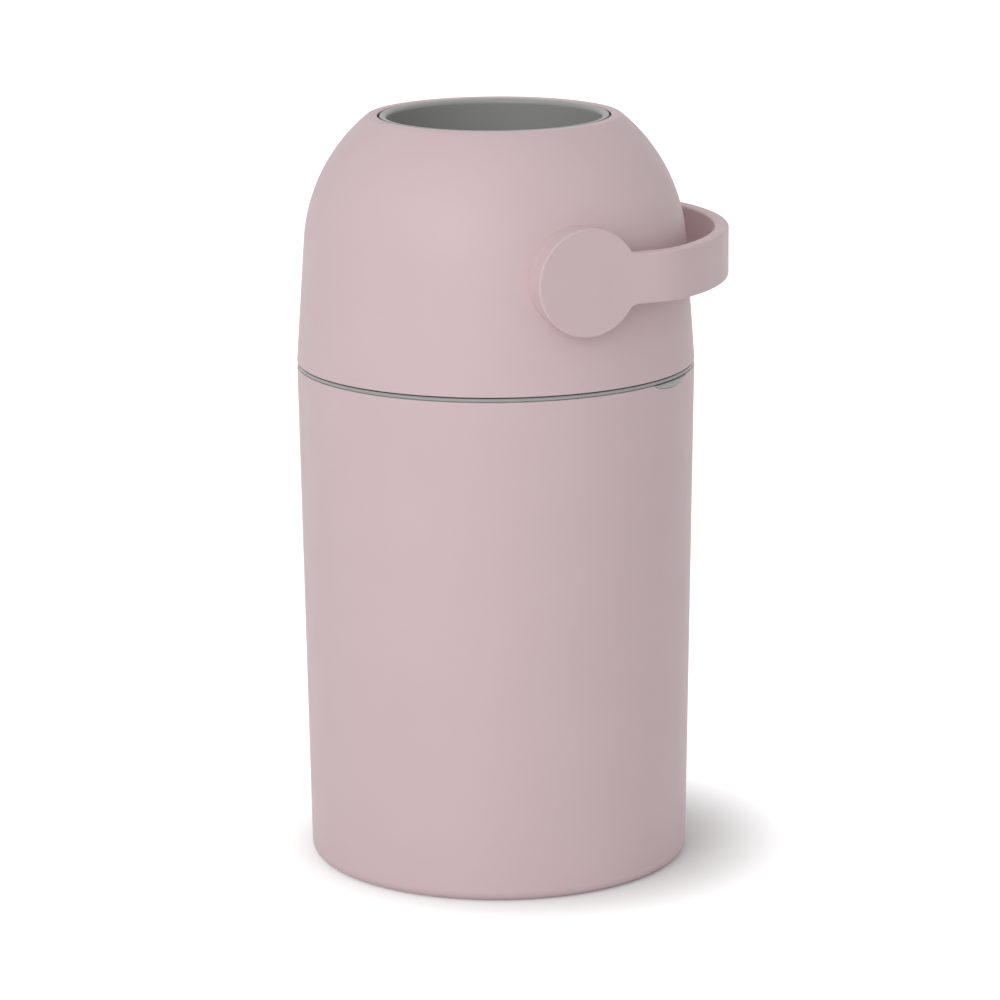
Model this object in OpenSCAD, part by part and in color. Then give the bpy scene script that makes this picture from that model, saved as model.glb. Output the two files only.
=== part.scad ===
// Nappy bin: a round tub, a hinged dome, and a drum inside the dome.
// The side handle flips the drum over, and a weighted piston in its bore pushes the nappy down into the bag.
// Origin: on the tub's axis at the floor. +Z is up, -Y is the side that shows the handle's front disc,
// and the handle points to +X at rest. Azimuths run from -Y towards +X.

/* [Tub] */
// Outside diameter where the tub meets the dome
seam_diameter = 281.2; // [270:0.2:300]
// Outside diameter at the floor
base_diameter = 270.4; // [255:0.1:285]
// Height of the dome's lower edge above the floor
seam_height = 360.5; // [320:0.5:420]
// Thickness of the tub's wall
tub_wall = 2.8; // [2:0.1:3.4]
// Thickness of the tub's floor
tub_floor = 2.8; // [2:0.1:5]
// Radius of the tub's lower edge
base_fillet = 7.5; // [3:0.5:10]
// How far the tub's floor is raised inside its foot ring
foot_recess = 1.5; // [0.5:0.1:3]
// Width of the foot ring that the tub stands on
foot_width = 11; // [6:0.5:20]

/* [Seat ring] */
// Height of the ring's band that shows below the dome
band_height = 2.6; // [2:0.1:5]
// Gap between the band and the dome's lower edge
seam_gap = 0.9; // [0.4:0.1:1.2]
// How far the band lies inside the tub's outside surface
band_inset = 0.4; // [0.2:0.1:1]
// Height of the shadow groove between the band and the tub
band_groove = 0.6; // [0.3:0.1:1]
// Thickness of the ring's skirt inside the tub
skirt_wall = 2.5; // [1.5:0.1:3]
// Depth of the bag shelf's underside below the tub's upper edge
shelf_depth = 17; // [16:0.5:24]
// Thickness of the bag shelf
shelf_thickness = 2.5; // [1.5:0.1:3]
// How far the bag shelf reaches in past the bag ring's bore
shelf_lip = 1.5; // [0.5:0.1:4]

/* [Bag ring] */
// Gap between the bag ring's outer edge and the latch's housing
bag_ring_gap = 2.3; // [1:0.1:4]
// Width of the bag ring from its bore to its outer edge
bag_ring_width = 15.5; // [10:0.5:20]
// Height of the bag ring
bag_ring_height = 7; // [4:0.5:8]
// Thickness of the bag ring's wall
bag_ring_wall = 2; // [1.5:0.1:3]

/* [Dome] */
// Thickness of the dome's wall
dome_wall = 2.8; // [2:0.1:3.4]
// Height of the drum's axis above the seam
pivot_rise = 77.5; // [74:0.5:84]
// Free space between the drum and the dome's wall at the drum's axis
side_gap = 7.1; // [6:0.1:9]
// Distance of the shoulder arc's centre from the bin's axis
crown_offset = 12; // [9:0.5:14]
// Radius of the dome's upper edge
rim_fillet = 4; // [2:0.5:5]
// Gap between the mouth ring and the dome's upper edge
mouth_gap = 1.6; // [1:0.1:2.4]
// Radius of the round bosses that carry the handle's discs
boss_radius = 36.4; // [34:0.1:40]
// How far the bosses stand out of the dome's widest point
boss_rise = 2.8; // [1.5:0.1:6]

/* [Drum] */
// How far the drum's round outside lies inside the tub's radius at the seam
drum_inset = 15.7; // [14:0.1:18]
// Thickness of the drum's skin
drum_skin = 2.6; // [2:0.1:3.5]
// Diameter of the bore that the piston slides in
drum_bore = 155; // [145:1:158]
// Thickness of the drum's bore wall
bore_wall = 2.6; // [2.4:0.1:3.5]
// How far the drum's flat sides are cut back from its round outside
flat_cut = 6.9; // [5:0.1:10]
// How far the ring at each of the drum's mouths reaches out past the bore
mouth_ring_reach = 2.9; // [2.4:0.1:4]
// How far the mouth ring's lip reaches into the bore
mouth_lip = 1.9; // [1.2:0.1:3]
// Length over which the bore necks in to the lip
neck_length = 12; // [8:1:20]
// Thickness of the mouth ring
mouth_ring_thickness = 3.2; // [2.5:0.1:5]
// Rounding of the mouth ring's inner edge
mouth_rounding = 2.8; // [0.8:0.1:3]

/* [Piston] */
// Length of the piston
piston_length = 86; // [70:1:100]
// Thickness of the piston's walls
piston_wall = 2.5; // [2:0.1:4]
// Diameter of the iron weight inside the piston
weight_diameter = 104; // [80:1:110]
// Thickness of the iron weight
weight_thickness = 12; // [8:1:16]

/* [Handle] */
// Free space between the dome's side and the handle's loop
finger_gap = 19.5; // [15:0.5:30]
// Thickness of the handle's band
handle_thickness = 10; // [8:0.5:14]
// Height of the handle's band
handle_height = 35; // [26:0.5:40]
// Radius of the handle's discs
disc_radius = 37.5; // [35:0.1:41]
// Thickness of the handle's discs
disc_thickness = 12.8; // [11:0.1:16]
// How much smaller the discs are at their backs
disc_draft = 0.9; // [0:0.1:2]
// Radius where the band grows out of the disc
neck_fillet = 8; // [4:0.5:12]

/* [Axles] */
// Diameter of the axles
axle_diameter = 24; // [20:0.5:26]
// Width of the square that turns the handle
drive_square = 16; // [12:0.5:16]
// Width of the axle's square foot in the drum
foot_square = 32; // [28:0.5:34]
// Thickness of the axle's square foot
foot_thickness = 6; // [4:0.5:8]
// Radius at which the drum's stop pins run
stop_radius = 27; // [26.5:0.1:28]
// Radius of the drum's stop pins
stop_pin = 3; // [2:0.1:3.4]

/* [Latch] */
// Azimuth of the latch's tab
latch_azimuth = 36; // [20:0.5:60]
// Width of the tab at the tub's upper edge
tab_width = 48; // [36:1:50]
// Depth of the tab below the tub's upper edge
tab_depth = 4.4; // [3:0.1:7]
// How far the tab stands out of the tub
tab_rise = 0.8; // [0.3:0.1:2]
// Travel of the latch's tab
latch_travel = 3; // [2:0.1:3.2]

/* [Hinge] */
// Distance of the hinge's pin from the tub's surface
hinge_standoff = 4; // [3.9:0.1:5]
// Radius of the hinge's knuckles
knuckle_radius = 3.4; // [2.8:0.1:3.5]
// Radius of the hinge's pin
hinge_pin_radius = 1.5; // [1.2:0.1:1.8]
// Length of the hinge along its pin
hinge_length = 38; // [30:1:40]

/* [Clearances] */
// Gap between pieces that move past each other
running_gap = 0.3; // [0.25:0.05:0.35]
// Gap round a shaft that turns in its bore
shaft_gap = 0.08; // [0.05:0.01:0.1]
// Gap between pieces that are fitted together
fit_gap = 0.2; // [0.1:0.05:0.25]

/* [Hidden] */
$fn = 96;

PINK = "#c9b0b3";
GREY = "#a6a7a5";
DARK_GREY = "#6f7071";
WHITE = "#dcdcd8";
STEEL = "#b9bcc0";

// Overlap that makes two shapes of one piece one solid
bite = 0.05;
// Length that reaches past whatever a cut goes through
beyond = 1;
// Larger than the whole bin
far = 1000;
// Radial clearance and sizes shared by the small self-tapping screws
screw_radius = 1.4;
screw_hole = 1.5;
screw_head = 2.7;
head_height = 1.6;
post_radius = 4;
// How far the small screws reach into their posts, and the deeper holes that they go into
screw_reach = 12;
hole_depth = 14;

// Tub
seam_r = seam_diameter / 2;
base_r = base_diameter / 2;
tub_top = seam_height - seam_gap - band_height;
band_top = seam_height - seam_gap;
inner_floor = foot_recess + tub_floor;
inner_fillet = 4;
tub_edge = 0.6;
function tub_r(z) = base_r + (seam_r - base_r) * z / seam_height;

// Seat ring
shelf_bottom = tub_top - shelf_depth;
shelf_top = shelf_bottom + shelf_thickness;
skirt_r = tub_r(shelf_bottom) - tub_wall - fit_gap;
skirt_inner_r = skirt_r - skirt_wall;
band_r = tub_r(tub_top) - band_inset;
groove_r = band_r - 1.4;
gasket_width = 3.4;
flange_reach = 7.2;
flange_r = skirt_inner_r - flange_reach;

// Drum, measured from its centre
drum_r = seam_r - drum_inset;
flat_distance = drum_r - flat_cut;
pivot_z = seam_height + pivot_rise;
swept_r = drum_r + running_gap;
bore_r = drum_bore / 2;
tube_r = bore_r + bore_wall;
mouth_ring_r = bore_r + mouth_ring_reach;
lip_r = bore_r - mouth_lip;
face = sqrt(pow(drum_r, 2) - pow(mouth_ring_r, 2));
shell_top = face - mouth_ring_thickness;
tongue_depth = 2.4;
tongue_inner_r = mouth_ring_r - 1.3;
hub_radius = 26;

// Dome
crown_r = drum_r + side_gap + dome_wall - crown_offset;
crown_inner_r = crown_r - dome_wall;
crown_centre = [crown_offset, pivot_z];
dome_side_r = crown_r + crown_offset;
seam_from_crown = [seam_r - crown_offset, -pivot_rise];
tangent_angle = atan2(seam_from_crown.y, seam_from_crown.x) + acos(crown_r / norm(seam_from_crown));
dome_top = pivot_z + face + 0.2;
rim_rise = face + 0.2 - rim_fillet;
rim_angle = asin(rim_rise / (crown_r - rim_fillet));
rim_centre = [crown_offset + (crown_r - rim_fillet) * cos(rim_angle), dome_top - rim_fillet];
mouth_r = mouth_ring_r + mouth_gap;
mouth_edge = 0.8;
collar_width = 6.4;
collar_r = mouth_r + collar_width;
seal_width = 8.4;
function dome_inner_r(z) = seam_r - dome_wall / cos(tangent_angle) - (z - seam_height) * tan(tangent_angle);
function crown_inner_angle(r) = acos((r - crown_offset) / crown_inner_r);
function swept_angle(r) = acos(r / swept_r);
function swept_radius_at(z) = sqrt(pow(swept_r, 2) - pow(pivot_z - z, 2));

// Dome floor
floor_bottom = seam_height + 2.7;
floor_thickness = 2.5;
floor_top = floor_bottom + floor_thickness;
floor_r = dome_inner_r(floor_top) - running_gap;
floor_lip = 1.9;
floor_bore_r = swept_radius_at(floor_top) + floor_lip;
floor_post_r = skirt_inner_r - 5;
floor_post_height = 20;
floor_screw_count = 6;

// Handle and its bosses, measured from the bin's axis
boss_face = dome_side_r + boss_rise;
bush_flange_r = stop_radius + 5;
pad_face = crown_offset + sqrt(pow(crown_inner_r, 2) - pow(bush_flange_r, 2)) - running_gap;
disc_gap = 0.4;
disc_back = boss_face + disc_gap;
disc_face = disc_back + disc_thickness;
loop_inner_r = dome_side_r + finger_gap;
loop_outer_r = loop_inner_r + handle_thickness;
band_back = disc_face - handle_thickness;

// Bushes and axles, measured from the bin's axis
axle_r = axle_diameter / 2;
bush_bore_r = axle_r + shaft_gap;
bush_wall = 4;
bush_r = bush_bore_r + bush_wall;
bush_flange = 2.4;
flange_face = pad_face - bush_flange;
bush_screw_radius = (bush_r + stop_radius - stop_pin) / 2;
stop_pin_length = flange_face - flat_distance - 1.2;
foot_start = tube_r + 3.6;
foot_end = foot_start + foot_thickness;
axle_end = disc_face - 4.2;
axle_screw_radius = 2.4;
axle_screw_head = 4.6;
axle_screw_hole = 2.5;

// Latch, measured outwards along its azimuth
tab_top = tub_top - running_gap;
lens_rise = 0.6;
plate_outer_r = tub_r(shelf_bottom) - tub_wall - running_gap;
plate_thickness = 1.5;
plate_inner_r = plate_outer_r - plate_thickness;
plate_half_width = tab_width / 2 + 1;
plate_bottom = shelf_top + running_gap;
bridge_height = 3;
tongue_outer_r = plate_inner_r - latch_travel - 0.7;
tongue_thickness = 1.7;
hook_reach = 1.3;
hook_inner_r = tongue_outer_r - tongue_thickness - hook_reach;
nose_r = hook_inner_r - running_gap;
nose_reach = 1.8;
blade_thickness = 2;
blade_r = nose_r - nose_reach - blade_thickness;
blade_half_width = 8;
blade_top = band_top - 1.8;
hook_bottom = plate_bottom + bridge_height + 2.6;
hook_height = 2.4;
nose_bottom = hook_bottom + hook_height + 0.8;
spring_length = latch_travel + 3;
housing_r = blade_r - spring_length;
housing_wall = 2;
guide_half_width = blade_half_width + running_gap;
spring_radius = 2.6;
spring_wire = 0.6;
spring_z = plate_bottom + 5;
keeper_half_width = 15;
keeper_thickness = 2;
keeper_screw_r = housing_r + 3;
keeper_screw_s = 11.2;

// Bag ring and the shelf's bore inside it
bag_ring_bottom = shelf_top + running_gap;
bag_ring_r = housing_r - housing_wall - bag_ring_gap;
bag_ring_bore_r = bag_ring_r - bag_ring_width;
shelf_bore_r = bag_ring_bore_r - shelf_lip;

// Hinge
hinge_azimuth = latch_azimuth + 180;
hinge_r = seam_r + hinge_standoff;
hinge_z = seam_height - seam_gap / 2;
knuckle_half = hinge_length / 6;
leaf_thickness = 2;
leaf_bottom = hinge_z + knuckle_radius + 1.1;
leaf_height = 17;
leaf_half_width = 13;
leaf_screw_s = 8;
leaf_hole_start = dome_inner_r(leaf_bottom + leaf_height) - 2 * beyond;
leaf_hole_length = dome_wall + leaf_thickness + hinge_standoff + 10 * beyond;

// Drum's screws
drum_screw_count = 6;
drum_post_reach = 20;
drum_screw_r = (tube_r + sqrt(pow(drum_r - drum_skin, 2) - pow(drum_post_reach, 2))) / 2;
drum_post_radius = 5.5;
drum_post_depth = 14;
drum_post_height = 16;
rib_half = 1.2;

// Piston, measured from its underside
piston_r = bore_r - 0.9;
seal_r = bore_r - running_gap;
piston_edge = 3;
piston_stop = neck_length * (piston_r + running_gap - lip_r) / mouth_lip - piston_edge;
piston_bottom = pivot_z - shell_top + piston_stop;
piston_half = piston_length / 2;
groove_depth = 2;
groove_height = 4;
groove_inset = 12;
weight_r = weight_diameter / 2;
cradle_outer_r = 44;
cradle_inner_r = 41.5;
piston_screw_r = (weight_r + piston_r - piston_wall) / 2;
piston_post_radius = 4.4;
piston_screw_count = 3;

// Points along an arc
function arc(centre, radius, start, end, steps = 6) =
    [for (i = [0:steps]) let (angle = start + (end - start) * i / steps)
        centre + radius * [cos(angle), sin(angle)]];

// Turns +X outwards at an azimuth of the bin
module at_azimuth(azimuth) {
    rotate([0, 0, azimuth - 90]) children();
}

// Turns +Z outwards along the drum's axis, at the front (-Y) or the rear (+Y)
module at_front() {
    translate([0, 0, pivot_z]) rotate([90, 0, 0]) children();
}

module at_rear() {
    mirror([0, 1, 0]) at_front() children();
}

// A tube from one height to another
module tube(outer, inner, from, to) {
    translate([0, 0, from]) difference() {
        cylinder(r = outer, h = to - from);
        translate([0, 0, -beyond]) cylinder(r = inner, h = to - from + 2 * beyond);
    }
}

// A rod from one height to another
module rod(radius, from, to) {
    translate([0, 0, from]) cylinder(r = radius, h = to - from);
}

// A block given by its lower and upper corners
module block(low, high) {
    translate(low) cube(high - low);
}

// A pan-head screw whose head hangs below z = 0 and whose shank points up
module screw(length, shank = screw_radius, head = screw_head) {
    rod(shank, -bite, length);
    difference() {
        rod(head, -head_height, 0);
        rod(head * 0.45, -head_height - beyond, -head_height * 0.5, $fn = 6);
    }
}

// ---- Tub and what stays with it ----

// Lower half of an ellipse at the tub's upper edge, pushed out along the latch's azimuth
module lens(gap) {
    half = tab_width / 2 + gap;
    depth = tab_depth + gap + lens_rise;
    translate([skirt_inner_r, 0, tub_top + lens_rise]) rotate([90, 0, 90]) linear_extrude(seam_r)
        polygon(concat(
            [[half, beyond]],
            [for (i = [0:24]) [half * cos(180 * i / 24), -depth * sin(180 * i / 24)]],
            [[-half, beyond]]
        ));
}

module tub() {
    outline = concat(
        [[0, foot_recess], [base_r - base_fillet - foot_width - foot_recess, foot_recess],
         [base_r - base_fillet - foot_width, 0]],
        arc([tub_r(base_fillet) - base_fillet, base_fillet], base_fillet, -90, 0),
        [[tub_r(tub_top - tub_edge), tub_top - tub_edge], [tub_r(tub_top) - tub_edge, tub_top],
         [tub_r(tub_top) - tub_wall, tub_top]],
        arc([tub_r(inner_floor) - tub_wall - inner_fillet, inner_floor + inner_fillet], inner_fillet, 0, -90),
        [[0, inner_floor]]
    );
    color(PINK) difference() {
        rotate_extrude() polygon(outline);
        // scoop for the latch's tab
        at_azimuth(latch_azimuth) lens(running_gap);
    }
}

module seat_ring() {
    notch_half = plate_half_width + 0.4;
    slot_half = blade_half_width + 1;
    color(GREY) difference() {
        union() {
            rotate_extrude() polygon([
                [shelf_bore_r, shelf_bottom], [skirt_r, shelf_bottom], [skirt_r, tub_top],
                [groove_r, tub_top], [groove_r, tub_top + band_groove], [band_r, tub_top + band_groove],
                [band_r, band_top - 0.4], [band_r - 0.4, band_top], [flange_r, band_top],
                [flange_r, tub_top], [skirt_inner_r, tub_top], [skirt_inner_r, shelf_top],
                [shelf_bore_r, shelf_top]
            ]);
            // outer knuckles of the hinge, on brackets over the tub's edge
            at_azimuth(hinge_azimuth) for (side = [-1, 1]) {
                middle = side * 2 * knuckle_half;
                reach = knuckle_half - fit_gap;
                block([band_r - 2, middle - reach, tub_top + band_groove],
                      [hinge_r, middle + reach, band_top]);
                translate([hinge_r, middle - reach, hinge_z]) rotate([-90, 0, 0])
                    cylinder(r = knuckle_radius, h = 2 * reach);
            }
        }
        // ways for the latch's plate and for its blade and the keeper
        at_azimuth(latch_azimuth) {
            block([flange_r - 2, -notch_half, shelf_top], [seam_r + 5, notch_half, tub_top]);
            block([flange_r - 2, -slot_half, shelf_top], [band_r - 3, slot_half, band_top + 1]);
        }
        at_azimuth(hinge_azimuth) translate([hinge_r, -hinge_length, hinge_z]) rotate([-90, 0, 0])
            cylinder(r = hinge_pin_radius + 0.02, h = 2 * hinge_length);
    }
    // housing that guides the latch and holds its spring
    color(GREY) at_azimuth(latch_azimuth) {
        cheek = guide_half_width + housing_wall;
        difference() {
            block([housing_r - housing_wall, -cheek, shelf_top - bite],
                  [tongue_outer_r - 0.6, cheek, hook_bottom - 1]);
            block([housing_r, -guide_half_width, shelf_top - 1],
                  [seam_r, guide_half_width, hook_bottom]);
        }
    }
}

module bag_ring() {
    shoulder = bag_ring_bottom + bag_ring_wall;
    rim = bag_ring_bore_r + bag_ring_wall;
    top = bag_ring_bottom + bag_ring_height;
    color(WHITE) {
        rotate_extrude() polygon([
            [bag_ring_bore_r, bag_ring_bottom], [bag_ring_r, bag_ring_bottom], [bag_ring_r, shoulder],
            [rim, shoulder], [rim, top], [bag_ring_bore_r, top]
        ]);
        // two finger tabs that lift the ring out
        for (azimuth = [latch_azimuth - 90, latch_azimuth + 90]) at_azimuth(azimuth)
            block([rim - 0.5, -11, shoulder - bite], [bag_ring_r - 6, 11, shoulder + 2]);
    }
}

module latch_spring() {
    color(STEEL) at_azimuth(latch_azimuth)
        translate([housing_r + fit_gap, 0, spring_z]) rotate([0, 90, 0])
            tube(spring_radius, spring_radius - spring_wire, 0, spring_length - 2 * fit_gap);
}

module hinge_pin() {
    color(STEEL) at_azimuth(hinge_azimuth)
        translate([hinge_r, -hinge_length / 2, hinge_z]) rotate([-90, 0, 0])
            cylinder(r = hinge_pin_radius, h = hinge_length);
}

// ---- Latch ----

module latch_tab() {
    color(GREY) {
        // plate behind the tub's wall
        intersection() {
            tube(plate_outer_r, plate_inner_r, plate_bottom, tab_top);
            at_azimuth(latch_azimuth)
                block([0, -plate_half_width, 0], [far, plate_half_width, far]);
        }
        // tab on the plate's front
        intersection() {
            rotate_extrude() polygon([
                [plate_outer_r - bite, plate_bottom], [tub_r(plate_bottom) + tab_rise, plate_bottom],
                [tub_r(tab_top) + tab_rise, tab_top - 1], [tub_r(tab_top) + tab_rise - 1, tab_top],
                [plate_outer_r - bite, tab_top]
            ]);
            at_azimuth(latch_azimuth) lens(0);
        }
        at_azimuth(latch_azimuth) {
            block([blade_r, -blade_half_width, plate_bottom],
                  [plate_inner_r + 0.4, blade_half_width, plate_bottom + bridge_height]);
            block([blade_r, -blade_half_width, plate_bottom],
                  [blade_r + blade_thickness, blade_half_width, blade_top]);
            // nose that holds the keeper's hook down
            translate([0, blade_half_width - 1, 0]) rotate([90, 0, 0])
                linear_extrude(2 * blade_half_width - 2) polygon([
                    [blade_r + blade_thickness - bite, nose_bottom], [nose_r, nose_bottom],
                    [nose_r, nose_bottom + 1], [blade_r + blade_thickness - bite, blade_top]
                ]);
        }
    }
}

// ---- Dome and what stays with it ----

// Places its children at each screw of the dome's floor
module at_floor_screws() {
    for (i = [0:floor_screw_count - 1])
        at_azimuth(latch_azimuth + 180 / floor_screw_count + i * 360 / floor_screw_count)
            translate([floor_post_r, 0, 0]) children();
}

// Places its children at each screw of one bush, along the drum's axis
module at_bush_screws() {
    for (angle = [90, 210, 330])
        rotate([0, 0, angle]) translate([bush_screw_radius, 0, 0]) children();
}

module dome_shell() {
    seam_point = [seam_r, seam_height];
    outline = concat(
        [seam_point],
        arc(crown_centre, crown_r, tangent_angle, rim_angle, 16),
        arc(rim_centre, rim_fillet, rim_angle + 10, 90, 4),
        arc([mouth_r + mouth_edge, dome_top - mouth_edge], mouth_edge, 90, 180, 3),
        arc([0, pivot_z], swept_r, swept_angle(mouth_r), swept_angle(collar_r), 3),
        arc(crown_centre, crown_inner_r, crown_inner_angle(collar_r), tangent_angle, 16),
        [[dome_inner_r(seam_height), seam_height]]
    );
    color(PINK) difference() {
        union() {
            rotate_extrude() polygon(outline);
            // round bosses that carry the bushes and face the handle's discs
            intersection() {
                union() {
                    at_front() rod(boss_radius, pad_face, boss_face);
                    at_rear() rod(boss_radius, pad_face, boss_face);
                }
                translate([0, 0, seam_height]) cylinder(r = far, h = far);
            }
            // posts for the floor's screws
            at_floor_screws() {
                rod(post_radius, floor_top, floor_top + floor_post_height);
                block([0, -rib_half, floor_top],
                      [dome_inner_r(floor_top) - floor_post_r + 1, rib_half, floor_top + floor_post_height]);
            }
        }
        for (place = [0, 1]) mirror([0, place, 0]) at_front() {
            rod(bush_r + 0.1, pad_face - beyond, boss_face + beyond);
            at_bush_screws() rod(screw_hole, pad_face - beyond, boss_face - 1.4);
        }
        at_floor_screws() rod(screw_hole, floor_top - beyond, floor_top + floor_post_height - 2);
        // holes for the hinge leaf's screws
        at_azimuth(hinge_azimuth) for (side = [-1, 1])
            translate([leaf_hole_start, side * leaf_screw_s, leaf_bottom + leaf_height / 2])
                rotate([0, 90, 0]) cylinder(r = screw_hole, h = leaf_hole_length);
    }
}

module dome_floor() {
    color(DARK_GREY) difference() {
        union() {
            tube(floor_r, floor_bore_r, floor_bottom, floor_top);
            // posts for the keeper's screws
            at_azimuth(latch_azimuth) for (side = [-1, 1])
                translate([keeper_screw_r, side * keeper_screw_s, 0])
                    rod(post_radius - 0.8, floor_top - bite, floor_top + 5);
        }
        at_floor_screws() rod(screw_hole, floor_bottom - beyond, floor_top + beyond);
        at_azimuth(latch_azimuth) for (side = [-1, 1])
            translate([keeper_screw_r, side * keeper_screw_s, 0])
                rod(screw_hole, floor_bottom - beyond, floor_top + 4);
    }
}

module dome_floor_screws() {
    color(STEEL) at_floor_screws() translate([0, 0, floor_bottom]) screw(floor_thickness + screw_reach);
}

module dome_gasket() {
    outer = dome_inner_r(floor_bottom) - running_gap;
    color(DARK_GREY) tube(outer, outer - gasket_width, band_top + running_gap, floor_bottom);
}

module upper_drum_seal() {
    inner = collar_r + fit_gap;
    outer = inner + seal_width;
    color(DARK_GREY) rotate_extrude() polygon(concat(
        arc([0, pivot_z], swept_r, swept_angle(inner), swept_angle(outer), 4),
        arc(crown_centre, crown_inner_r - fit_gap, acos((outer - crown_offset) / (crown_inner_r - fit_gap)),
            acos((inner - crown_offset) / (crown_inner_r - fit_gap)), 4)
    ));
}

module lower_drum_seal() {
    bottom = floor_bottom - 1.8;
    color(DARK_GREY) rotate_extrude() polygon(concat(
        [[floor_bore_r + 6, bottom], [floor_bore_r + 6, floor_bottom], [floor_bore_r - fit_gap, floor_bottom],
         [floor_bore_r - fit_gap, floor_top]],
        [for (i = [0:4]) let (z = floor_top + (bottom - floor_top) * i / 4) [swept_radius_at(z), z]]
    ));
}

// The bush fills the boss's bore, and its flange carries the stop for the drum's pin
module bush() {
    difference() {
        union() {
            rod(bush_flange_r, flange_face, pad_face);
            rod(bush_r, flange_face, boss_face);
            // stop that leaves the pin half a turn
            intersection() {
                tube(stop_radius + stop_pin, stop_radius - stop_pin, flange_face - 5, flange_face + bite);
                block([stop_pin + running_gap, -far / 2, 0], [far / 2, far / 2, far]);
            }
        }
        rod(bush_bore_r, flange_face - beyond, boss_face + beyond);
        at_bush_screws() rod(screw_hole, flange_face - beyond, pad_face + beyond);
    }
}

module front_bush() {
    color(WHITE) at_front() bush();
}

module rear_bush() {
    color(WHITE) at_rear() bush();
}

module bush_screws() {
    color(STEEL) for (place = [0, 1]) mirror([0, place, 0])
        at_front() at_bush_screws() translate([0, 0, flange_face]) screw(bush_flange + 5);
}

module latch_keeper() {
    bottom = floor_bottom - keeper_thickness;
    color(STEEL) at_azimuth(latch_azimuth) difference() {
        union() {
            block([keeper_screw_r - 4, -keeper_half_width, bottom],
                  [tongue_outer_r, keeper_half_width, floor_bottom]);
            translate([0, blade_half_width - 0.5, 0]) rotate([90, 0, 0])
                linear_extrude(2 * blade_half_width - 1) polygon([
                    [tongue_outer_r, bottom + bite], [tongue_outer_r, hook_bottom],
                    [hook_inner_r, hook_bottom + 1], [hook_inner_r, hook_bottom + hook_height],
                    [tongue_outer_r - tongue_thickness, hook_bottom + hook_height],
                    [tongue_outer_r - tongue_thickness, bottom + bite]
                ]);
        }
        for (side = [-1, 1]) translate([keeper_screw_r, side * keeper_screw_s, 0])
            rod(screw_hole, bottom - beyond, floor_bottom + beyond);
    }
}

module keeper_screws() {
    color(STEEL) at_azimuth(latch_azimuth) for (side = [-1, 1])
        translate([keeper_screw_r, side * keeper_screw_s, floor_bottom - keeper_thickness])
            screw(keeper_thickness + floor_thickness + 3);
}

// Inside surface of the hinge's leaf, just off the dome's wall
function leaf_r(z) = seam_r - (z - seam_height) * tan(tangent_angle) + bite;

module hinge_leaf() {
    top = leaf_bottom + leaf_height;
    color(PINK) difference() {
        union() {
            // curved leaf against the dome's wall
            intersection() {
                rotate_extrude() polygon([
                    [leaf_r(leaf_bottom), leaf_bottom], [leaf_r(leaf_bottom) + leaf_thickness, leaf_bottom],
                    [leaf_r(top) + leaf_thickness, top - 1], [leaf_r(top) + leaf_thickness - 1, top],
                    [leaf_r(top), top]
                ]);
                at_azimuth(hinge_azimuth)
                    block([0, -leaf_half_width, 0], [far, leaf_half_width, far]);
            }
            // middle knuckle and its neck
            at_azimuth(hinge_azimuth) {
                reach = knuckle_half - fit_gap;
                translate([hinge_r, -reach, hinge_z]) rotate([-90, 0, 0])
                    cylinder(r = knuckle_radius, h = 2 * reach);
                block([leaf_r(leaf_bottom) + 0.6, -reach, hinge_z + 0.6],
                      [hinge_r - 0.8, reach, leaf_bottom + bite]);
            }
        }
        at_azimuth(hinge_azimuth) {
            translate([hinge_r, -hinge_length, hinge_z]) rotate([-90, 0, 0])
                cylinder(r = hinge_pin_radius + shaft_gap, h = 2 * hinge_length);
            for (side = [-1, 1])
                translate([leaf_hole_start, side * leaf_screw_s, leaf_bottom + leaf_height / 2])
                    rotate([0, 90, 0]) cylinder(r = screw_hole, h = leaf_hole_length);
        }
    }
}

module hinge_screws() {
    middle = leaf_bottom + leaf_height / 2;
    color(STEEL) at_azimuth(hinge_azimuth) for (side = [-1, 1])
        translate([leaf_r(middle) + leaf_thickness, side * leaf_screw_s, middle]) rotate([0, -90, 0])
            screw(leaf_thickness + dome_wall + 2);
}

// ---- Drum, handle and axles: these turn together ----

// Places its children at each screw that joins the drum's halves, about the drum's centre
module at_drum_screws() {
    for (i = [0:drum_screw_count - 1])
        rotate([0, 0, i * 360 / drum_screw_count]) translate([drum_screw_r, 0, 0]) children();
}

// A rib that ties each screw post to the bore's wall
module drum_ribs(from, to) {
    for (i = [0:drum_screw_count - 1])
        rotate([0, 0, i * 360 / drum_screw_count])
            block([tube_r - bite, -rib_half, from], [drum_screw_r, rib_half, to]);
}

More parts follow.
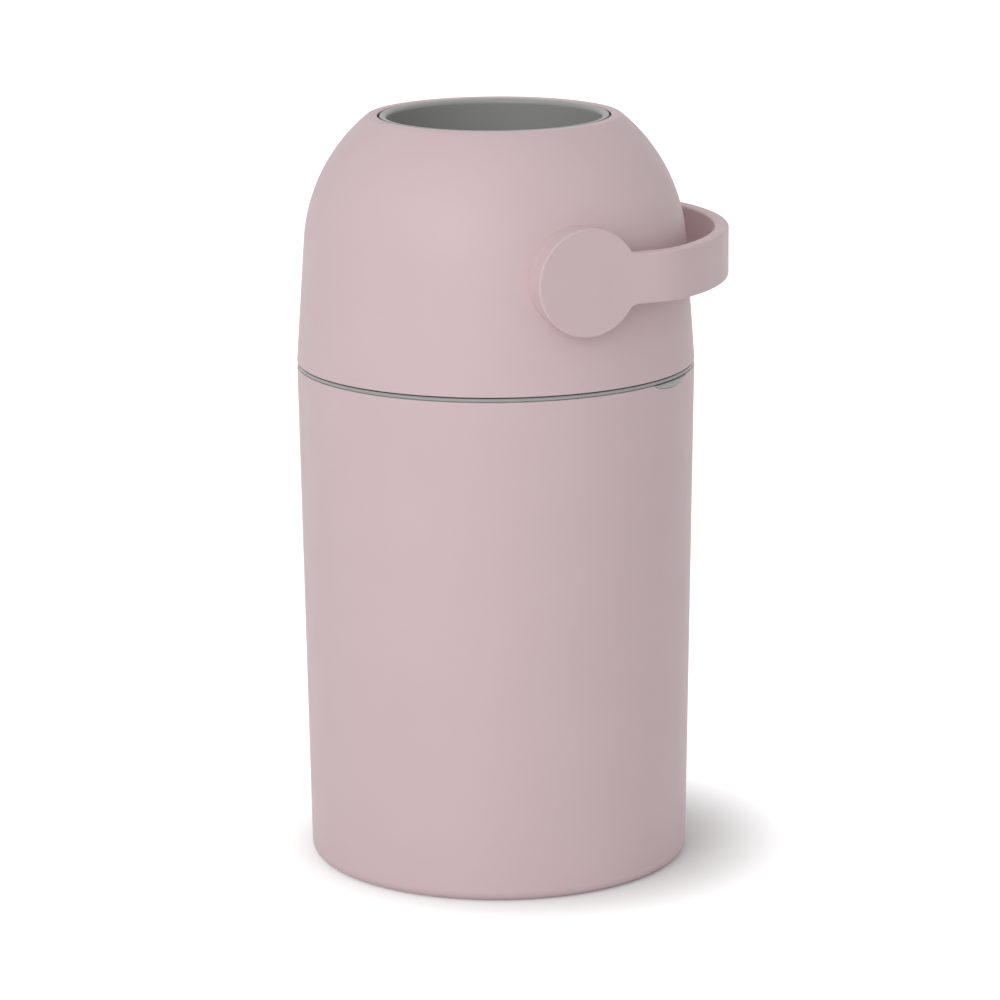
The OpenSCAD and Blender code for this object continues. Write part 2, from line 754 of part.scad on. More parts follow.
// The whole drum about its centre: a ball with flat sides, a bore and two hubs
module drum_ball() {
    difference() {
        intersection() {
            sphere(r = drum_r);
            cube([far, 2 * flat_distance, 2 * shell_top], center = true);
        }
        difference() {
            intersection() {
                sphere(r = drum_r - drum_skin);
                cube([far, 2 * (flat_distance - drum_skin), 2 * (shell_top - drum_skin)], center = true);
            }
            cylinder(r = tube_r, h = far, center = true);
            rotate([90, 0, 0]) cylinder(r = hub_radius, h = far, center = true);
        }
        // bore, drawn in to a lip at both ends
        rotate_extrude() polygon([
            [0, -shell_top - beyond], [lip_r, -shell_top - beyond], [lip_r, -shell_top],
            [bore_r, neck_length - shell_top], [bore_r, shell_top - neck_length],
            [lip_r, shell_top], [lip_r, shell_top + beyond], [0, shell_top + beyond]
        ]);
        // seats of the axles' shafts and square feet
        for (turn = [-90, 90]) rotate([turn, 0, 0]) {
            rod(axle_r + fit_gap / 2, foot_end - bite, flat_distance + beyond);
            translate([0, 0, (foot_start + foot_end) / 2])
                cube([foot_square + fit_gap, foot_square + fit_gap, foot_thickness + fit_gap], center = true);
        }
        // grooves for the mouth rings' tongues
        for (turn = [0, 180]) rotate([turn, 0, 0])
            tube(mouth_ring_r + fit_gap, tongue_inner_r - fit_gap,
                 shell_top - tongue_depth - fit_gap, shell_top + beyond);
    }
}

module drum_upper_shell() {
    color(GREY) translate([0, 0, pivot_z]) difference() {
        union() {
            intersection() {
                drum_ball();
                block([-far / 2, -far / 2, 0], [far / 2, far / 2, far / 2]);
            }
            at_drum_screws() rod(drum_post_radius, 0, drum_post_height);
            drum_ribs(0, drum_post_height);
            // pins that meet the bushes' stops
            for (turn = [-90, 90]) rotate([turn, 0, 0])
                translate([0, turn < 0 ? -stop_radius : stop_radius, 0])
                    rod(stop_pin, flat_distance - 1, flat_distance + stop_pin_length);
        }
        at_drum_screws() rod(screw_hole, -beyond, drum_post_height - 2);
    }
}

module drum_lower_shell() {
    color(GREY) translate([0, 0, pivot_z]) difference() {
        union() {
            intersection() {
                drum_ball();
                block([-far / 2, -far / 2, -far / 2], [far / 2, far / 2, 0]);
            }
            intersection() {
                at_drum_screws() rod(drum_post_radius, -drum_r, 0);
                sphere(r = drum_r - drum_skin / 2);
            }
            drum_ribs(-drum_post_depth, 0);
        }
        at_drum_screws() {
            rod(screw_hole, -drum_post_depth - beyond, beyond);
            rod(screw_head + 0.5, -far / 2, -drum_post_depth);
        }
    }
}

module drum_screws() {
    color(STEEL) translate([0, 0, pivot_z - drum_post_depth])
        at_drum_screws() screw(drum_post_depth + screw_reach);
}

// Ring at the drum's mouth, about the drum's centre
module mouth_ring() {
    rotate_extrude() polygon(concat(
        [[lip_r, shell_top]],
        arc([lip_r + mouth_rounding, face - mouth_rounding], mouth_rounding, 180, 90, 5),
        [[mouth_ring_r - 0.4, face], [mouth_ring_r, face - 0.4], [mouth_ring_r, shell_top - tongue_depth],
         [tongue_inner_r, shell_top - tongue_depth], [tongue_inner_r, shell_top]]
    ));
}

module upper_mouth_ring() {
    color(GREY) translate([0, 0, pivot_z]) mouth_ring();
}

module lower_mouth_ring() {
    color(GREY) translate([0, 0, pivot_z]) mirror([0, 0, 1]) mouth_ring();
}

// Outline of the handle seen from above: a half ring whose ends run flat to the discs
module loop_outline() {
    difference() {
        intersection() {
            circle(r = loop_outer_r);
            translate([0, -disc_face]) square([far, 2 * disc_face]);
        }
        intersection() {
            circle(r = loop_inner_r);
            translate([-far / 2, -band_back]) square([far, 2 * band_back]);
        }
    }
}

// Outline of the neck that grows out of one disc, seen along the drum's axis
module neck_outline() {
    half = handle_height / 2;
    reach = disc_radius + neck_fillet;
    neck_x = sqrt(pow(reach, 2) - pow(half + neck_fillet, 2));
    difference() {
        translate([0, -half - neck_fillet * 0.8]) square([neck_x, handle_height + neck_fillet * 1.6]);
        for (side = [-1, 1]) translate([neck_x, side * (half + neck_fillet)]) circle(r = neck_fillet);
    }
}

module handle() {
    half = handle_height / 2;
    color(PINK) difference() {
        union() {
            translate([0, 0, pivot_z - half]) linear_extrude(handle_height) loop_outline();
            for (place = [0, 1]) mirror([0, place, 0]) at_front() {
                translate([0, 0, band_back]) linear_extrude(handle_thickness) neck_outline();
                translate([0, 0, disc_back])
                    cylinder(r1 = disc_radius - disc_draft, r2 = disc_radius, h = disc_thickness);
            }
        }
        for (place = [0, 1]) mirror([0, place, 0]) at_front() {
            translate([0, 0, (disc_back + axle_end) / 2])
                cube([drive_square + fit_gap, drive_square + fit_gap, axle_end - disc_back + fit_gap],
                     center = true);
            rod(axle_screw_hole, disc_back, disc_face - 1.6);
        }
    }
}

// Axle with a square foot in the drum and a square end in the handle
module axle() {
    difference() {
        union() {
            translate([0, 0, (foot_start + foot_end) / 2])
                cube([foot_square, foot_square, foot_thickness], center = true);
            rod(axle_r, foot_end - bite, disc_back - fit_gap);
            translate([-drive_square / 2, -drive_square / 2, disc_back - 1])
                cube([drive_square, drive_square, axle_end - disc_back + 1]);
        }
        rod(axle_screw_hole, foot_start - beyond, axle_end + beyond);
        rod(axle_screw_head + 0.4, foot_start - beyond, foot_start + 3);
    }
}

module front_axle() {
    color(STEEL) at_front() axle();
}

module rear_axle() {
    color(STEEL) at_rear() axle();
}

module axle_screws() {
    color(STEEL) for (place = [0, 1]) mirror([0, place, 0]) at_front()
        translate([0, 0, foot_start + 3])
            screw(disc_face - 2.4 - foot_start - 3, axle_screw_radius, axle_screw_head);
}

// ---- Piston ----

// Places its children at each of the piston's screws
module at_piston_screws() {
    for (i = [0:piston_screw_count - 1])
        rotate([0, 0, 90 + i * 360 / piston_screw_count]) translate([piston_screw_r, 0, 0]) children();
}

// One half of the piston's shell, from its closed end at z = 0 to the middle
module piston_cup() {
    rotate_extrude() polygon(concat(
        [[0, 0]],
        arc([piston_r - piston_edge, piston_edge], piston_edge, -90, 0, 5),
        [[piston_r, groove_inset], [piston_r - groove_depth, groove_inset],
         [piston_r - groove_depth, groove_inset + groove_height], [piston_r, groove_inset + groove_height],
         [piston_r, piston_half], [piston_r - piston_wall, piston_half],
         [piston_r - piston_wall, groove_inset + groove_height + piston_wall],
         [piston_r - groove_depth - piston_wall, groove_inset + groove_height],
         [piston_r - groove_depth - piston_wall, piston_wall], [0, piston_wall]]
    ));
    // cradle that holds the weight in the middle
    tube(cradle_outer_r, cradle_inner_r, piston_wall - bite, piston_half - weight_thickness / 2);
}

module piston_upper_cup() {
    color(GREY) translate([0, 0, piston_bottom + piston_length]) mirror([0, 0, 1]) difference() {
        union() {
            piston_cup();
            at_piston_screws() rod(piston_post_radius, piston_wall - bite, piston_half);
        }
        at_piston_screws() rod(screw_hole, piston_half - hole_depth, piston_half + beyond);
    }
}

module piston_lower_cup() {
    color(GREY) translate([0, 0, piston_bottom]) difference() {
        union() {
            piston_cup();
            at_piston_screws() rod(piston_post_radius, piston_wall - bite, piston_half);
        }
        at_piston_screws() {
            rod(screw_hole, -beyond, piston_half + beyond);
            rod(screw_head + 0.4, -beyond, piston_half - screw_reach);
        }
    }
}

module piston_weight() {
    color(STEEL) translate([0, 0, piston_bottom + piston_half - weight_thickness / 2])
        cylinder(r = weight_r, h = weight_thickness);
}

module piston_seals() {
    low = piston_bottom + groove_inset + fit_gap;
    high = piston_bottom + piston_length - groove_inset - fit_gap;
    inner = piston_r - groove_depth + fit_gap;
    thickness = groove_height - 2 * fit_gap;
    color(DARK_GREY) {
        tube(seal_r, inner, low, low + thickness);
        tube(seal_r, inner, high - thickness, high);
    }
}

module piston_screws() {
    color(STEEL) translate([0, 0, piston_bottom + piston_half - screw_reach])
        at_piston_screws() screw(2 * screw_reach);
}

tub();
seat_ring();
bag_ring();
latch_spring();
hinge_pin();
latch_tab();
dome_shell();
dome_floor();
dome_floor_screws();
dome_gasket();
upper_drum_seal();
lower_drum_seal();
front_bush();
rear_bush();
bush_screws();
latch_keeper();
keeper_screws();
hinge_leaf();
hinge_screws();
drum_upper_shell();
drum_lower_shell();
drum_screws();
upper_mouth_ring();
lower_mouth_ring();
handle();
front_axle();
rear_axle();
axle_screws();
piston_upper_cup();
piston_lower_cup();
piston_weight();
piston_seals();
piston_screws();
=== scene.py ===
"""Nappy bin: the visual model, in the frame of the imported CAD."""
import math

import bmesh
import bpy
from mathutils import Matrix, Vector


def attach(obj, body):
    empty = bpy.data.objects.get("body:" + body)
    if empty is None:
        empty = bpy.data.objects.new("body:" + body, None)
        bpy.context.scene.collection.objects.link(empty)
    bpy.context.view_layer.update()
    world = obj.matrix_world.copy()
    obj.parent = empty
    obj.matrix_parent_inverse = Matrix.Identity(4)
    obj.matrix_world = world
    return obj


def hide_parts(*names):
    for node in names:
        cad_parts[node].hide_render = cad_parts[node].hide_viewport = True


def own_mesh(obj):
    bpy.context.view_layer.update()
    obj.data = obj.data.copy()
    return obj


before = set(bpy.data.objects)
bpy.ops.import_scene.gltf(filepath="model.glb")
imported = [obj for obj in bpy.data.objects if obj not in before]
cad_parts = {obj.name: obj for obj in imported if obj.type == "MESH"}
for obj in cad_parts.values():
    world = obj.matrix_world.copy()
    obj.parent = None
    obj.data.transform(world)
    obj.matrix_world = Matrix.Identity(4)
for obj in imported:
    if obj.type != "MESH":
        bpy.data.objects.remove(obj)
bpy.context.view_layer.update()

MM = 0.001

# ---- Sizes of the bin, in millimetres, as the CAD has them ----

SEAM_R, BASE_R, SEAM_Z = 140.6, 135.2, 360.5
TUB_TOP = 357.0
TUB_WALL, TUB_FLOOR, TUB_CORNER, FOOT_RECESS, FOOT_WIDTH = 2.8, 2.8, 4.0, 1.5, 11.0
BASE_FILLET = 7.5
PIVOT_Z = 438.0
CROWN_X, CROWN_R, DOME_WALL = 12.0, 122.8, 2.8
RIM_FILLET, RIM_LIFT, MOUTH_EDGE = 4.0, 0.2, 0.8
DRUM_FACE, DRUM_SHELL_TOP = 95.58, 92.38
MOUTH_R, COLLAR_R, SWEPT_R = 82.0, 88.4, 125.2
MOUTH_RING_R, LIP_R, RING_TONGUE_R, RING_TONGUE = 80.4, 75.6, 79.1, 2.4
BOSS_R, BOSS_FACE, PAD_FACE, BUSH_HOLE_R = 36.4, 137.6, 127.35, 16.18
DISC_R, DISC_DRAFT, DISC_BACK, DISC_FACE, BAND_BACK = 37.5, 0.9, 138.0, 150.8, 140.8
LOOP_OUT_R, LOOP_IN_R, BAND_HALF = 164.3, 154.3, 17.5
NECK_FILLET = 8.0
LATCH_AZ = 36.0
TAB_HALF, TAB_DEPTH, LENS_RISE, GAP = 24.0, 4.4, 0.6, 0.3
TAB_TOP, PLATE_BOTTOM, PLATE_R, PLATE_THICK, PLATE_HALF = 356.7, 342.8, 137.19, 1.5, 25.0
BLADE_R, BLADE_HALF, BLADE_TOP = 124.89, 8.0, 357.8
SPRING_BACK, SPRING_LENGTH, SPRING_R, SPRING_WIRE, SPRING_Z = 119.09, 5.6, 2.6, 0.3, 347.8
TAB_EDGE, TAB_CROWN, TAB_SINK = 0.1, 1.1, 0.6  # how far the tab stands out, and how deep it goes into its plate
BLADE_THICK, NOSE_REACH, NOSE_LOW, NOSE_TIP = 2.0, 1.8, 351.6, 352.6


def tub_r(z):
    """The tapered tub's outer radius at a height."""
    return BASE_R + (SEAM_R - BASE_R) * z / SEAM_Z


SHARP_ANGLE = math.radians(28)  # edges above it stay sharp

# ---- Mesh helpers ----

def arc(cx, cy, radius, start, end, steps):
    """Points along an arc, in degrees."""
    return [(cx + radius * math.cos(math.radians(start + (end - start) * i / steps)),
             cy + radius * math.sin(math.radians(start + (end - start) * i / steps)))
            for i in range(steps + 1)]


def clean(points, least=0.01):
    """Points of a closed outline with repeated neighbours dropped."""
    kept = []
    for p in points:
        if not kept or math.dist(p, kept[-1]) > least:
            kept.append(p)
    if math.dist(kept[0], kept[-1]) <= least:
        kept.pop()
    return kept


def lathe(profile, steps=288):
    """A closed outline of (radius, height) turned about the bin's axis."""
    profile = clean(profile)
    verts, rows = [], []
    for r, z in profile:
        if r < 1e-6:
            rows.append([len(verts)] * steps)
            verts.append((0.0, 0.0, z))
        else:
            rows.append(list(range(len(verts), len(verts) + steps)))
            verts += [(r * math.cos(2 * math.pi * i / steps), r * math.sin(2 * math.pi * i / steps), z)
                      for i in range(steps)]
    faces = []
    for k, row in enumerate(rows):
        other = rows[(k + 1) % len(rows)]
        if row[0] == row[1] and other[0] == other[1]:
            continue
        for i in range(steps):
            j = (i + 1) % steps
            face = []
            for v in (row[i], row[j], other[j], other[i]):
                if v not in face:
                    face.append(v)
            faces.append(face)
    return verts, faces


def inset(outline, distance):
    """A counter-clockwise outline moved inwards, with mitred corners."""
    count = len(outline)
    moved = []
    for i, p in enumerate(outline):
        a, b = outline[i - 1], outline[(i + 1) % count]
        d1 = Vector((p[0] - a[0], p[1] - a[1])).normalized()
        d2 = Vector((b[0] - p[0], b[1] - p[1])).normalized()
        n1, n2 = Vector((-d1.y, d1.x)), Vector((-d2.y, d2.x))
        mitre = (n1 + n2) / max(0.2, 1 + n1.dot(n2))
        moved.append((p[0] + mitre.x * distance, p[1] + mitre.y * distance))
    return moved


def loft(layers):
    """A solid through outlines with the same number of points, each at its height."""
    count = len(layers[0][0])
    verts = [(x, y, height) for outline, height in layers for x, y in outline]
    faces = []
    for k in range(len(layers) - 1):
        for i in range(count):
            j = (i + 1) % count
            faces.append([k * count + i, k * count + j, (k + 1) * count + j, (k + 1) * count + i])
    faces.append(list(range(count))[::-1])
    faces.append([(len(layers) - 1) * count + i for i in range(count)])
    return verts, faces


def prism(outline, low, high, round_low=0.0, round_high=0.0, steps=6):
    """A counter-clockwise outline pushed up from low to high, its end edges rounded."""
    outline = clean(outline)
    layers = []
    if round_low:
        layers += [(round_low * (1 - math.sin(math.pi / 2 * k / steps)),
                    low + round_low * (1 - math.cos(math.pi / 2 * k / steps))) for k in range(steps + 1)]
    else:
        layers.append((0.0, low))
    if round_high:
        layers += [(round_high * (1 - math.cos(math.pi / 2 * k / steps)),
                    high - round_high * (1 - math.sin(math.pi / 2 * k / steps))) for k in range(steps + 1)]
    else:
        layers.append((0.0, high))
    return loft([(inset(outline, distance), height) for distance, height in layers])


def make(name, shape, turn=None):
    """A Blender object in metres from a shape in millimetres, its normals outwards."""
    verts, faces = shape
    if turn is not None:
        verts = [turn @ Vector(v) for v in verts]
    data = bpy.data.meshes.new(name)
    data.from_pydata([Vector(v) * MM for v in verts], [], faces)
    bm = bmesh.new()
    bm.from_mesh(data)
    bmesh.ops.recalc_face_normals(bm, faces=bm.faces)
    bm.to_mesh(data)
    bm.free()
    obj = bpy.data.objects.new(name, data)
    bpy.context.scene.collection.objects.link(obj)
    return obj


def bake(obj):
    """Applies an object's modifiers to its mesh."""
    graph = bpy.context.evaluated_depsgraph_get()
    old = obj.data
    new = bpy.data.meshes.new_from_object(obj.evaluated_get(graph))
    obj.modifiers.clear()
    obj.data = new
    new.name = obj.name
    bpy.data.meshes.remove(old)


def cut(obj, tool, operation):
    """Joins a tool to an object or takes it away, and deletes the tool."""
    step = obj.modifiers.new("cut", "BOOLEAN")
    step.operation = operation
    step.solver = "EXACT"
    step.object = tool
    bpy.context.view_layer.update()
    bake(obj)
    data = tool.data
    bpy.data.objects.remove(tool)
    bpy.data.meshes.remove(data)


def box(low, high):
    """A block given by its lower and upper corners."""
    (x0, y0, z0), (x1, y1, z1) = low, high
    return loft([([(x0, y0), (x1, y0), (x1, y1), (x0, y1)], z) for z in (z0, z1)])


def smooth(obj):
    """Smooth shading that keeps sharp edges."""
    bm = bmesh.new()
    bm.from_mesh(obj.data)
    bmesh.ops.remove_doubles(bm, verts=bm.verts, dist=0.01 * MM)
    bmesh.ops.dissolve_degenerate(bm, edges=bm.edges, dist=0.004 * MM)
    bm.to_mesh(obj.data)
    bm.free()
    obj.data.shade_smooth()
    obj.data.set_sharp_from_angle(angle=SHARP_ANGLE)
    weights = obj.modifiers.new("weights", "WEIGHTED_NORMAL")
    weights.keep_sharp = True
    weights.weight = 60


# Turn the bin's axis to the drum's, towards its front and its rear end
AT_FRONT = Matrix.Translation((0, 0, PIVOT_Z)) @ Matrix.Rotation(math.pi / 2, 4, "X")
AT_REAR = Matrix.Translation((0, 0, PIVOT_Z)) @ Matrix.Rotation(-math.pi / 2, 4, "X")


def circle(radius, steps=180):
    """A closed circle round the origin."""
    return arc(0, 0, radius, 0, 360, steps)


def at_azimuth(degrees):
    """Turns +X outwards at an azimuth of the bin."""
    return Matrix.Rotation(math.radians(degrees - 90), 4, "Z")


# ---- Materials ----

def srgb(r, g, b):
    """A colour written in 8-bit sRGB, as linear values."""
    return tuple((c / 255 / 12.92) if c / 255 <= 0.04045 else ((c / 255 + 0.055) / 1.055) ** 2.4
                 for c in (r, g, b)) + (1.0,)


def noise(nodes, links, coord, scale, detail=2.0, stretch=(1, 1, 1)):
    """A noise texture's value at the object's own coordinates."""
    mapping = nodes.new("ShaderNodeMapping")
    mapping.inputs["Scale"].default_value = stretch
    texture = nodes.new("ShaderNodeTexNoise")
    texture.inputs["Scale"].default_value = scale
    texture.inputs["Detail"].default_value = detail
    links.new(coord, mapping.inputs["Vector"])
    links.new(mapping.outputs["Vector"], texture.inputs["Vector"])
    return texture.outputs["Fac"]


def ranged(nodes, links, value, low, high):
    """A noise value spread from low to high."""
    step = nodes.new("ShaderNodeMapRange")
    step.inputs["From Min"].default_value = 0.3
    step.inputs["From Max"].default_value = 0.7
    step.inputs["To Min"].default_value = low
    step.inputs["To Max"].default_value = high
    links.new(value, step.inputs["Value"])
    return step.outputs["Result"]


def material(name, colour, roughness, tone=0.02, tone_scale=14, rough_span=0.03, rough_scale=45,
             grain_scale=1500, grain=0.02, metal=0.0, specular=0.5, stretch=(1, 1, 1)):
    """A moulded or worked surface: cloudy tone, uneven gloss and a fine grain in its relief."""
    mat = bpy.data.materials.new(name)
    mat.use_nodes = True
    nodes, links = mat.node_tree.nodes, mat.node_tree.links
    shader = nodes["Principled BSDF"]
    shader.inputs["Metallic"].default_value = metal
    shader.inputs["Specular IOR Level"].default_value = specular
    coord = nodes.new("ShaderNodeTexCoord").outputs["Object"]
    cloud = noise(nodes, links, coord, tone_scale, 3.0, stretch)
    mix = nodes.new("ShaderNodeMix")
    mix.data_type = "RGBA"
    mix.inputs["A"].default_value = tuple(c * (1 - tone) for c in colour[:3]) + (1.0,)
    mix.inputs["B"].default_value = tuple(min(1.0, c * (1 + tone)) for c in colour[:3]) + (1.0,)
    links.new(ranged(nodes, links, cloud, 0.0, 1.0), mix.inputs["Factor"])
    links.new(mix.outputs["Result"], shader.inputs["Base Color"])
    smudge = noise(nodes, links, coord, rough_scale, 2.0, stretch)
    links.new(ranged(nodes, links, smudge, roughness - rough_span, roughness + rough_span),
              shader.inputs["Roughness"])
    relief = noise(nodes, links, coord, grain_scale, 2.0, stretch)
    bump = nodes.new("ShaderNodeBump")
    bump.inputs["Strength"].default_value = 0.5
    bump.inputs["Distance"].default_value = grain * MM
    links.new(relief, bump.inputs["Height"])
    links.new(bump.outputs["Normal"], shader.inputs["Normal"])
    return mat


PINK = material("pink_satin", srgb(214, 191, 194), 0.5, tone=0.012, grain=0.012, specular=0.35)
GREY = material("grey_satin", srgb(163, 164, 162), 0.42, tone=0.015, grain=0.01, specular=0.4)
LATCH = material("latch_satin", srgb(172, 174, 170), 0.4, tone=0.015, grain=0.008, specular=0.4)
DARK = material("dark_satin", srgb(112, 114, 114), 0.5, tone=0.02, grain=0.015)
WHITE = material("white_satin", srgb(226, 225, 221), 0.42, tone=0.01, grain=0.01)
RUBBER = material("seal_rubber", srgb(66, 66, 69), 0.72, tone=0.05, rough_span=0.06, grain=0.02, specular=0.3)
STEEL = material("zinc_steel", srgb(200, 202, 206), 0.3, tone=0.04, tone_scale=120, rough_span=0.08,
                 grain_scale=900, grain=0.004, metal=1.0, stretch=(1, 1, 0.08))
IRON = material("machined_iron", srgb(120, 120, 123), 0.45, tone=0.08, tone_scale=90, rough_span=0.1,
                grain_scale=700, grain=0.03, metal=1.0)

CAD_LOOK = {
    "seat_ring": GREY, "bag_ring": WHITE, "hinge_pin": STEEL,
    "dome_floor": DARK, "dome_floor_screws": STEEL, "dome_gasket": RUBBER, "upper_drum_seal": RUBBER,
    "lower_drum_seal": RUBBER, "front_bush": WHITE, "rear_bush": WHITE, "bush_screws": STEEL,
    "latch_keeper": STEEL, "keeper_screws": STEEL, "hinge_leaf": PINK, "hinge_screws": STEEL,
    "drum_upper_shell": GREY, "drum_lower_shell": GREY, "drum_screws": STEEL,
    "front_axle": STEEL, "rear_axle": STEEL, "axle_screws": STEEL,
    "piston_upper_cup": GREY, "piston_lower_cup": GREY, "piston_weight": IRON, "piston_seals": RUBBER,
    "piston_screws": STEEL,
}


def smooth_group():
    """Node group for the CAD solids: joins their facets and shades them smooth, as smooth() does."""
    group = bpy.data.node_groups.new("smooth_facets", "GeometryNodeTree")
    group.interface.new_socket("Geometry", in_out="INPUT", socket_type="NodeSocketGeometry")
    group.interface.new_socket("Geometry", in_out="OUTPUT", socket_type="NodeSocketGeometry")
    start = group.nodes.new("NodeGroupInput")
    end = group.nodes.new("NodeGroupOutput")
    merge = group.nodes.new("GeometryNodeMergeByDistance")
    merge.inputs["Distance"].default_value = 0.002 * MM
    faces = group.nodes.new("GeometryNodeSetShadeSmooth")
    edges = group.nodes.new("GeometryNodeSetShadeSmooth")
    edges.domain = "EDGE"
    edges.inputs["Shade Smooth"].default_value = False
    angle = group.nodes.new("GeometryNodeInputMeshEdgeAngle")
    sharp = group.nodes.new("FunctionNodeCompare")
    sharp.data_type = "FLOAT"
    sharp.operation = "GREATER_THAN"
    sharp.inputs["B"].default_value = SHARP_ANGLE
    links = group.links
    links.new(start.outputs[0], merge.inputs["Geometry"])
    links.new(merge.outputs["Geometry"], faces.inputs["Geometry"])
    links.new(faces.outputs["Geometry"], edges.inputs["Geometry"])
    links.new(angle.outputs["Unsigned Angle"], sharp.inputs["A"])
    links.new(sharp.outputs["Result"], edges.inputs["Selection"])
    links.new(edges.outputs["Geometry"], end.inputs[0])
    return group


def dress_cad():
    """Gives the CAD nodes that stay their finish and smooth shading."""
    group = smooth_group()
    for node, look in CAD_LOOK.items():
        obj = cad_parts[node]
        obj.data.materials.clear()
        obj.data.materials.append(look)
        obj.modifiers.new("smooth_facets", "NODES").node_group = group


def finish_piece(obj, look, slot, body, *nodes):
    """Gives a finished piece its material and body, and hides the CAD nodes that it stands for; slot is not used."""
    obj.data.materials.clear()
    obj.data.materials.append(look)
    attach(obj, body)
    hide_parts(*nodes)


# ---- Tub ----

def build_tub():
    """The tub with its foot ring and the scoop for the latch's tab."""
    foot = BASE_R - BASE_FILLET - FOOT_WIDTH
    floor_z = FOOT_RECESS + TUB_FLOOR
    edge = 0.7
    profile = [(0, FOOT_RECESS), (foot - FOOT_RECESS, FOOT_RECESS), (foot, 0)]
    profile += arc(tub_r(BASE_FILLET) - BASE_FILLET, BASE_FILLET, BASE_FILLET, -90, 0, 16)
    profile += [(tub_r(z), z) for z in range(20, 350, 15)]
    profile += arc(tub_r(TUB_TOP) - edge, TUB_TOP - edge, edge, 0, 90, 5)
    profile += arc(tub_r(TUB_TOP) - TUB_WALL + edge, TUB_TOP - edge, edge, 90, 180, 5)
    profile += arc(tub_r(floor_z) - TUB_WALL - TUB_CORNER, floor_z + TUB_CORNER, TUB_CORNER, 0, -90, 10)
    profile += [(0, floor_z)]
    tub = make("tub_wall", lathe(profile))
    # scoop that the latch's tab fills
    scoop = lens(GAP) + [(TUB_TOP + 5, -TAB_HALF - GAP), (TUB_TOP + 5, TAB_HALF + GAP)]
    turn = at_azimuth(LATCH_AZ) @ Matrix(((0, 0, 1, 0), (0, 1, 0, 0), (1, 0, 0, 0), (0, 0, 0, 1)))
    cut(tub, make("scoop", prism(scoop, SEAM_R - 20, SEAM_R + 20), turn), "DIFFERENCE")
    smooth(tub)
    finish_piece(tub, PINK, "pink_plastic", "bin", "tub")


# ---- Latch ----

def lens(gap, steps=96):
    """Height and side of points along the lower half of the tab's ellipse, seen from outside."""
    half, depth = TAB_HALF + gap, TAB_DEPTH + gap + LENS_RISE
    return [(TUB_TOP + LENS_RISE - depth * y / half, x) for x, y in arc(0, 0, half, 0, 180, steps)]


def build_latch():
    """The tab with its cushioned face, its plate, and the blade with its nose."""
    turn = at_azimuth(LATCH_AZ)
    inner = PLATE_R - PLATE_THICK
    side = math.degrees(math.asin(PLATE_HALF / PLATE_R))
    plate = prism(arc(0, 0, PLATE_R, -side, side, 24) + arc(0, 0, inner, side, -side, 24),
                  PLATE_BOTTOM, TAB_TOP, 0, 0.3, 3)
    latch = make("latch_press", plate, turn)
    # cushioned tab, in rings from the middle of its back to the middle of its face
    edge = [(z, y) for z, y in lens(0) if z < TAB_TOP]
    edge = clean(edge + [(TAB_TOP, edge[-1][1] * (1 - k / 24)) for k in range(49)])
    middle, rings, count = TAB_TOP - TAB_DEPTH * 0.45, 12, len(edge)
    rows = [(k / rings, False) for k in range(1, rings + 1)] + [(1 - k / rings, True) for k in range(rings)]
    verts = [(PLATE_R - TAB_SINK, 0, middle), (tub_r(middle) + TAB_EDGE + TAB_CROWN, 0, middle)]
    for part, outside in rows:
        for z, y in edge:
            z, y = middle + (z - middle) * part, y * part
            reach = tub_r(z) + TAB_EDGE + TAB_CROWN * (1 - part ** 3) if outside else PLATE_R - TAB_SINK
            verts.append((math.sqrt(reach ** 2 - y ** 2), y, z))
    faces, last = [], len(verts) - count
    for i in range(count):
        j = (i + 1) % count
        faces += [[0, 2 + i, 2 + j], [1, last + i, last + j]]
        faces += [[2 + k * count + i, 2 + k * count + j, 2 + (k + 1) * count + j, 2 + (k + 1) * count + i]
                  for k in range(len(rows) - 1)]
    cut(latch, make("tab", (verts, faces), turn), "UNION")
    # blade with its bridge and its nose
    blade = BLADE_R + BLADE_THICK
    cut(latch, make("bridge", box((BLADE_R, -BLADE_HALF, PLATE_BOTTOM), (inner + 0.4, BLADE_HALF, PLATE_BOTTOM + 3)),
                    turn), "UNION")
    cut(latch, make("blade", box((BLADE_R, -BLADE_HALF, PLATE_BOTTOM), (blade, BLADE_HALF, BLADE_TOP)),
                    turn), "UNION")
    nose = [(blade - 0.05, NOSE_LOW), (blade + NOSE_REACH, NOSE_LOW), (blade + NOSE_REACH, NOSE_TIP),
            (blade - 0.05, BLADE_TOP)]
    upright = turn @ Matrix(((1, 0, 0, 0), (0, 0, 1, 0), (0, 1, 0, 0), (0, 0, 0, 1)))
    cut(latch, make("nose", prism(nose, 1 - BLADE_HALF, BLADE_HALF - 1), upright), "UNION")
    smooth(latch)
    finish_piece(latch, LATCH, "grey_plastic", "latch", "latch_tab")


